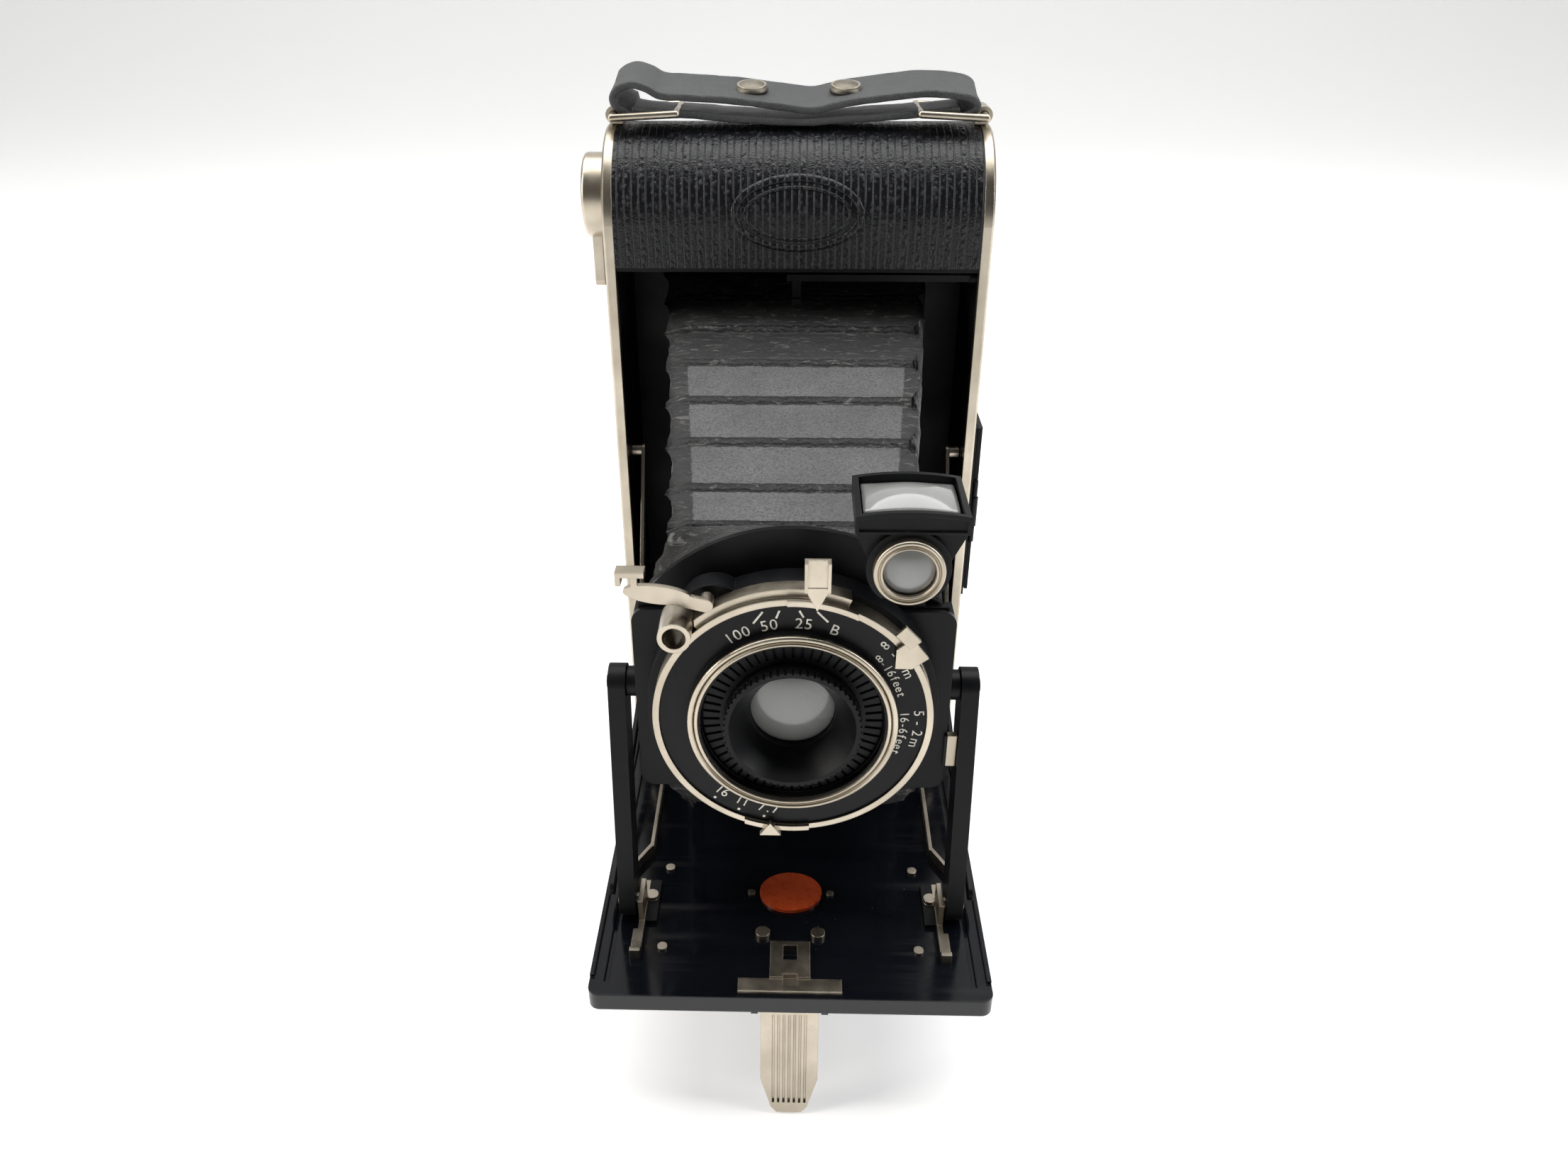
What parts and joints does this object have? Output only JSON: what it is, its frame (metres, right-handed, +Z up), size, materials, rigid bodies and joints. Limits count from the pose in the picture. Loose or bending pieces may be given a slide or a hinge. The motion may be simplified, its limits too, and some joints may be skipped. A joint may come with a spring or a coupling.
{
  "type": "folding roll film camera",
  "caption": "Vintage folding roll-film camera with leather bellows, drop bed, self-erecting lens standard, leaf shutter and reflecting finder.",
  "frame": {"origin": "middle of the body's underside, on the table", "axes": "-Y is the way the lens looks, +Z up, X across the body"},
  "size_m": [0.0859, 0.1355, 0.1628],
  "materials": {
    "badge_enamel": "red-orange enamel",
    "bed_enamel": "gloss black enamel",
    "bellows_cloth": "pleated leathercloth",
    "black_paint": "satin black enamel",
    "dial_face": "matte black with pale markings",
    "glass": "polished",
    "leatherette": "ribbed pebbled leatherette",
    "mirror": "silvered",
    "nickel": "warm worn nickel plate",
    "red_glass": "dark red",
    "steel": "plain steel",
    "strap_leather": "dull worn leather"
  },
  "bodies": {
    "body": {"left_side_plate": "black_paint", "right_side_plate": "black_paint", "side_trims": "nickel", "side_leatherettes": "leatherette", "upper_chamber": "black_paint", "lower_chamber": "black_paint", "end_leatherettes": "leatherette", "film_gate": "black_paint", "body_pins": "steel", "winding_bush": "nickel", "tripod_bush": "nickel", "strap_fittings": "nickel", "strap_rings": "nickel", "strap": "strap_leather", "finder_base": "black_paint", "bellows": "bellows_cloth"},
    "upper_roller": {"upper_roller": "steel"},
    "lower_roller": {"lower_roller": "steel"},
    "supply_spool": {"supply_spool": "steel"},
    "winding_key": {"winding_key": "nickel", "take_up_spool": "steel"},
    "key_handle": {"key_handle": "nickel"},
    "bed_catch": {"bed_catch": "black_paint"},
    "front_leaf": {"finder_front_leaf": "black_paint"},
    "rear_leaf": {"finder_rear_leaf": "black_paint"},
    "rear_cover": {"rear_cover": "black_paint", "rear_leatherette": "leatherette", "pressure_plate": "black_paint", "red_window": "red_glass"},
    "window_shutter": {"window_shutter": "black_paint"},
    "rear_latch": {"rear_latch": "nickel"},
    "bed": {"bed_panel": "bed_enamel", "bed_leatherette": "leatherette", "catch_plate": "nickel", "badge": "badge_enamel", "bed_rivets": "nickel", "strut_brackets": "nickel", "lock_springs": "nickel"},
    "foot": {"foot": "nickel"},
    "struts": {"struts": "black_paint"},
    "upper_braces": {"upper_braces": "nickel"},
    "lower_braces": {"lower_braces": "black_paint"},
    "standard": {"standard_frame": "black_paint", "lens_board": "black_paint", "shutter_housing": "black_paint", "shutter_rim": "nickel", "dial_plate": "dial_face", "shutter_blades": "black_paint", "rear_cell": "black_paint", "rear_lens": "glass", "cable_socket": "nickel"},
    "front_cell": {"front_cell": "black_paint", "front_lens": "glass"},
    "speed_lever": {"speed_lever": "nickel"},
    "aperture_lever": {"aperture_lever": "nickel"},
    "release_lever": {"release_lever": "nickel"},
    "reflecting_finder": {"finder_housing": "black_paint", "finder_ring": "nickel", "finder_lenses": "glass", "finder_mirror": "mirror"}
  },
  "joints": [
    {"name": "bed_fold", "type": "hinge", "parent": "body", "child": "bed", "pos_m": [0, -0.0175, 0.0261], "axis": [-1, 0, 0], "range_deg": [0, 90], "deforming": ["bellows"]},
    {"name": "strut_fold", "type": "hinge", "parent": "bed", "child": "struts", "pos_m": [0, -0.096, 0.0326], "axis": [-1, 0, 0], "range_deg": [0, 66]},
    {"name": "standard_level", "type": "hinge", "parent": "struts", "child": "standard", "pos_m": [0, -0.09, 0.077], "axis": [-1, 0, 0], "range_deg": [-156, 0]},
    {"name": "upper_brace_swing", "type": "hinge", "parent": "body", "child": "upper_braces", "pos_m": [0, -0.01, 0.0855], "axis": [1, 0, 0], "range_deg": [0, 44.15]},
    {"name": "lower_brace_swing", "type": "hinge", "parent": "bed", "child": "lower_braces", "pos_m": [0, -0.094, 0.0334], "axis": [1, 0, 0], "range_deg": [-1.52, 0]},
    {"name": "foot_fold", "type": "hinge", "parent": "bed", "child": "foot", "pos_m": [0, -0.112, 0.0236], "axis": [-1, 0, 0], "range_deg": [-97, 0]},
    {"name": "focus_turn", "type": "hinge", "parent": "standard", "child": "front_cell", "pos_m": [0, -0.1, 0.077], "axis": [0, -1, 0], "range_deg": [-42, 0]},
    {"name": "speed_turn", "type": "hinge", "parent": "standard", "child": "speed_lever", "pos_m": [0, -0.1015, 0.077], "axis": [0, 1, 0], "range_deg": [-32, 6]},
    {"name": "aperture_turn", "type": "hinge", "parent": "standard", "child": "aperture_lever", "pos_m": [0, -0.1015, 0.077], "axis": [0, 1, 0], "range_deg": [-4, 44]},
    {"name": "release_press", "type": "hinge", "parent": "standard", "child": "release_lever", "pos_m": [-0.0135, -0.1, 0.0986], "axis": [0, 1, 0], "range_deg": [-6, 0], "stiffness_Nm_per_rad": 0.02},
    {"name": "finder_turn", "type": "hinge", "parent": "standard", "child": "reflecting_finder", "pos_m": [0.0171, -0.098, 0.1062], "axis": [0, -1, 0], "range_deg": [-90, 0]},
    {"name": "key_wind", "type": "hinge", "parent": "body", "child": "winding_key", "pos_m": [-0.042, 0, 0.1395], "axis": [1, 0, 0], "continuous": true},
    {"name": "key_handle_fold", "type": "hinge", "parent": "winding_key", "child": "key_handle", "pos_m": [-0.0426, 0, 0.1344], "axis": [0, 1, 0], "range_deg": [0, 90]},
    {"name": "supply_turn", "type": "hinge", "parent": "body", "child": "supply_spool", "pos_m": [0, 0, 0.0132], "axis": [1, 0, 0], "continuous": true},
    {"name": "upper_roller_turn", "type": "hinge", "parent": "body", "child": "upper_roller", "pos_m": [0, 0.0066, 0.1252], "axis": [1, 0, 0], "continuous": true},
    {"name": "lower_roller_turn", "type": "hinge", "parent": "body", "child": "lower_roller", "pos_m": [0, 0.0066, 0.0301], "axis": [1, 0, 0], "continuous": true},
    {"name": "catch_press", "type": "slide", "parent": "body", "child": "bed_catch", "axis": [1, 0, 0], "range_m": [-0.0012, 0], "stiffness_N_per_m": 400},
    {"name": "cover_open", "type": "hinge", "parent": "body", "child": "rear_cover", "pos_m": [0, 0.0022, 0.00097], "axis": [1, 0, 0], "range_deg": [-110, 0]},
    {"name": "latch_slide", "type": "slide", "parent": "rear_cover", "child": "rear_latch", "axis": [0, 1, 0], "range_m": [0, 0.0024], "stiffness_N_per_m": 300},
    {"name": "window_swing", "type": "hinge", "parent": "rear_cover", "child": "window_shutter", "pos_m": [0.0049, 0.0185, 0.06], "axis": [0, 1, 0], "range_deg": [0, 90]},
    {"name": "front_leaf_fold", "type": "hinge", "parent": "body", "child": "front_leaf", "pos_m": [0.04027, -0.0158, 0.0735], "axis": [0, 0, 1], "range_deg": [-90, 0]},
    {"name": "rear_leaf_fold", "type": "hinge", "parent": "body", "child": "rear_leaf", "pos_m": [0.04027, 0.0154, 0.0735], "axis": [0, 0, -1], "range_deg": [-90, 0]}
  ],
  "couplings": [
    {"joint": "strut_fold", "follows": "bed_fold", "ratio": 0.73},
    {"joint": "standard_level", "follows": "bed_fold", "ratio": -1.73},
    {"joint": "upper_brace_swing", "follows": "bed_fold", "ratio": 0.48727},
    {"joint": "lower_brace_swing", "follows": "bed_fold", "ratio": -0.01355}
  ]
}
